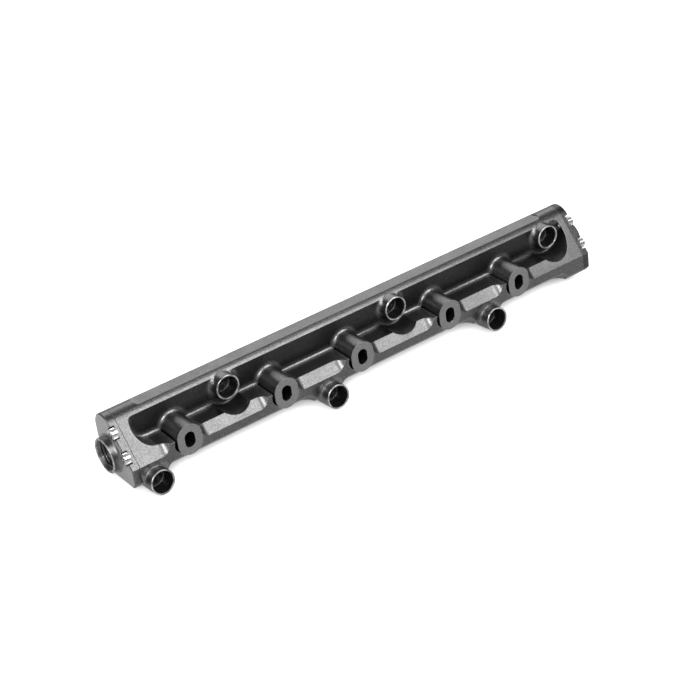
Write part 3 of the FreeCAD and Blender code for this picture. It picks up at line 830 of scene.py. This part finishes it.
@dataclass
class RailBody:
    """The milled rail itself, with its upper and its lower row of cups."""

    node: str = "rail_body"
    rows: tuple[CupRow, ...] = (
        CupRow(-102.2 * MM, (1.3245 * MM, 35.538 * MM), math.radians(12.907)),
        CupRow(-167.2 * MM, (-24.888 * MM, 12.179 * MM), math.radians(17.327)),
    )

    def build(self, finishes: Finishes) -> list[bpy.types.Object]:
        """Dress the rail.

        Args:
            finishes: The finishes.

        Returns:
            The pieces.
        """
        piece = smooth_copy(self.node, finishes.anodised)
        # Painted shade on the pocket's wall and ledge.
        paint(piece, finishes.pocket, POCKET_WALL)
        paint(piece, finishes.pocket, LEDGE)
        # Painted reflection on the boss faces.
        paint(piece, finishes.boss, BOSS_FACES)
        # Painted highlight on the cup rims, with patches of bare metal.
        for row in self.rows:
            for rim in row.rims:
                paint(piece, finishes.rim, rim)
        return [piece]


@dataclass
class PortThread:
    """The thread inside a cap's port, as a ridge on the wall of its bore."""

    side: Side
    centre: tuple[float, float] = (9.684 * MM, 18.641 * MM)
    start: float = 178.95 * MM
    bore: float = 8.78 * MM
    ridge: float = 0.8 * MM
    pitch: float = 1.5 * MM
    turns: float = 3.5
    steps: int = 48

    def build(self, tree: GeometryTree, finish: bpy.types.Material) -> bpy.types.Object:
        """Wind the thread.

        Args:
            tree: Tree of the thread.
            finish: The anodised finish.

        Returns:
            The piece.
        """
        values = {
            "Bore Radius": self.bore,
            "Ridge Height": self.ridge,
            "Pitch": self.pitch,
            "Turns": self.turns,
            "Steps": self.steps,
            "Material": finish,
        }
        place = Matrix.Translation((self.side.value * self.start, *self.centre))
        turn = Matrix.Rotation(self.side.value * QUARTER_TURN, 4, "Y")
        return tree.grow(f"port_thread_{self.side.word}", values, place @ turn, Slot.ANODISED)


@dataclass
class HeadKnurl:
    """The straight knurl round the head of one cap screw."""

    side: Side
    screw: str
    radius: float = 3.44 * MM
    ridge: float = 0.17 * MM
    height: float = 2.9 * MM
    below_top: float = 2.15 * MM
    ridges: int = 36

    def build(self, tree: GeometryTree, finish: bpy.types.Material) -> bpy.types.Object:
        """Set the ridges round the head.

        Args:
            tree: Tree of the knurl.
            finish: The steel finish.

        Returns:
            The piece.
        """
        values = {
            "Head Radius": self.radius,
            "Ridge Width": self.ridge,
            "Height": self.height,
            "Ridges": self.ridges,
            "Material": finish,
        }
        low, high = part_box(f"cap_screw_{self.side.word}_{self.screw}")
        top = high[0] if self.side is Side.RIGHT else low[0]
        middle = ((low[1] + high[1]) / 2, (low[2] + high[2]) / 2)
        place = Matrix.Translation((top - self.side.value * self.below_top, *middle))
        turn = Matrix.Rotation(QUARTER_TURN, 4, "Y")
        name = f"head_knurl_{self.side.word}_{self.screw}"
        return tree.grow(name, values, place @ turn, Slot.STEEL)


@dataclass
class EndCap:
    """An end cap with its port, seal and screws."""

    side: Side
    screws: tuple[str, ...] = ("upper", "front", "lower")
    face_reach: float = 181.95 * MM
    collar: tuple[float, float, float] = (186.95 * MM, 9.684 * MM, 18.641 * MM)
    collar_radius: float = 11.8 * MM
    rim_reach: float = 0.30 * MM

    def build(self, finishes: Finishes, thread: GeometryTree,
              knurl: GeometryTree) -> list[bpy.types.Object]:
        """Dress the cap and what it carries.

        Args:
            finishes: The finishes.
            thread: Tree of the port's thread.
            knurl: Tree of the heads' knurl.

        Returns:
            The pieces.
        """
        word = self.side.word
        # The right cap gets the copy of the anodising with less shine.
        anodised = finishes.right_cap if self.side is Side.RIGHT else finishes.anodised
        cap = smooth_copy(f"end_cap_{word}", anodised)
        outward = Vector((self.side.value, 0.0, 0.0))
        # Painted light on the cap's end face.
        paint(cap, finishes.cap, Plane(tuple(outward), self.face_reach))
        reach, across, up = self.collar
        middle = Vector((self.side.value * reach, across, up))
        # Painted highlight on the collar's rim, with patches of bare metal.
        paint(cap, finishes.rim, Rim(middle, outward, self.collar_radius, self.rim_reach))
        pieces = [
            cap,
            PortThread(self.side).build(thread, finishes.anodised),
            smooth_copy(f"cap_seal_{word}", finishes.rubber),
        ]
        for name in self.screws:
            pieces.append(smooth_copy(f"cap_screw_{word}_{name}", finishes.steel))
            pieces.append(HeadKnurl(self.side, name).build(knurl, finishes.steel))
        return pieces


@dataclass
class PhotoCamera:
    """The camera at the photograph's viewing angle, aimed from a point at the rail's front."""

    azimuth: float = math.radians(-36.454)
    elevation: float = math.radians(40.062)
    distance: float = 1109.53 * MM
    across: float = 116.2 * MM
    upward: float = 76.348 * MM
    reference: tuple[float, float, float] = (-167.2 * MM, -17.047 * MM, 10.590 * MM)
    lens: float = 94.942
    film: float = 36.0

    def build(self) -> None:
        """Place the camera and make it the scene's own."""
        side = Vector((math.cos(self.azimuth), math.sin(self.azimuth), 0))
        flat = math.cos(self.elevation)
        away = Vector(
            (
                math.sin(self.azimuth) * flat,
                -math.cos(self.azimuth) * flat,
                math.sin(self.elevation),
            )
        )
        rise = away.cross(side)
        aim = Vector(self.reference) + side * self.across + rise * self.upward
        data = bpy.data.cameras.new("photo_camera")
        data.lens = self.lens
        data.sensor_width = self.film
        camera = bpy.data.objects.new("photo_camera", data)
        turn = Matrix((side, rise, away)).transposed().to_4x4()
        camera.matrix_world = Matrix.Translation(aim + away * self.distance) @ turn
        bpy.context.scene.collection.objects.link(camera)
        bpy.context.scene.camera = camera


@dataclass(frozen=True)
class Softbox:
    """One soft lamp of the studio."""

    name: str
    place: tuple[float, float, float]
    aim: tuple[float, float, float]
    size: tuple[float, float]
    power: float

    def build(self) -> None:
        """Place the lamp."""
        data = bpy.data.lights.new(self.name, "AREA")
        data.shape = "RECTANGLE"
        data.size, data.size_y = self.size
        data.energy = self.power
        lamp = bpy.data.objects.new(self.name, data)
        direction = Vector(self.aim) - Vector(self.place)
        turn = direction.to_track_quat("-Z", "Y").to_matrix().to_4x4()
        lamp.matrix_world = Matrix.Translation(Vector(self.place)) @ turn
        bpy.context.scene.collection.objects.link(lamp)


@dataclass
class Studio:
    """Floor, lamps and surroundings."""

    floor_size: float = 6.0
    ambient: float = 0.20
    mirrored: float = 0.15
    lamps: tuple[Softbox, ...] = (
        Softbox("key", (0.36, -0.57, 1.07), (-0.1, 0.0, 0.0), (0.85, 0.85), 16.0),
        Softbox("back", (0.42, 1.1, 0.68), (0.0, 0.0, 0.0), (1.4, 0.85), 8.5),
        Softbox("side", (-1.2, 0.15, 0.55), (0.0, 0.0, 0.0), (0.6, 0.6), 4.5),
        Softbox("left", (-0.72, -0.70, 0.88), (0.0, 0.0, 0.0), (0.4, 0.4), 14.0),
    )

    def build(self, paper: bpy.types.Material) -> None:
        """Set up the studio.

        Args:
            paper: The floor's finish.
        """
        self.lay_floor(paper)
        self.fill_air()
        for lamp in self.lamps:
            lamp.build()

    def lay_floor(self, paper: bpy.types.Material) -> None:
        """Lay the floor.

        Args:
            paper: The floor's finish.
        """
        mesh = bpy.data.meshes.new("studio_floor")
        half = self.floor_size / 2
        corners = [(-half, -half, 0), (half, -half, 0), (half, half, 0), (-half, half, 0)]
        mesh.from_pydata(corners, [], [(0, 1, 2, 3)])
        mesh.materials.append(paper)
        floor = bpy.data.objects.new("studio_floor", mesh)
        bpy.context.scene.collection.objects.link(floor)

    def fill_air(self) -> None:
        """Light the rail evenly from all sides, and show the camera pure white."""
        world = bpy.data.worlds.new("studio_air")
        world.use_nodes = True
        air = NodeBuilder(world.node_tree)
        ray = air.add("ShaderNodeLightPath")
        lit = air.ramp(ray.outputs["Is Glossy Ray"], 0.0, 1.0, self.ambient, self.mirrored)
        shown = air.ramp(ray.outputs["Is Camera Ray"], 0.0, 1.0, lit, 1.0)
        sky = air.tree.nodes["Background"]
        air.set(sky, "Color", WHITE)
        air.set(sky, "Strength", shown)
        bpy.context.scene.world = world


def main() -> None:
    """Build the finishes, the pieces, the studio and the camera."""
    logging.basicConfig(level=logging.INFO, format="%(name)s: %(message)s")
    bpy.context.scene.view_settings.view_transform = "Standard"
    finishes = make_finishes()
    thread, knurl = thread_tree(), knurl_tree()
    pieces = RailBody().build(finishes)
    for side in Side:
        pieces += EndCap(side).build(finishes, thread, knurl)
    for piece in pieces:
        log.info("%s: %d faces", piece.name, len(piece.data.polygons))
    Studio().build(FloorPaper().material())
    PhotoCamera().build()


if __name__ == "__main__":
    main()
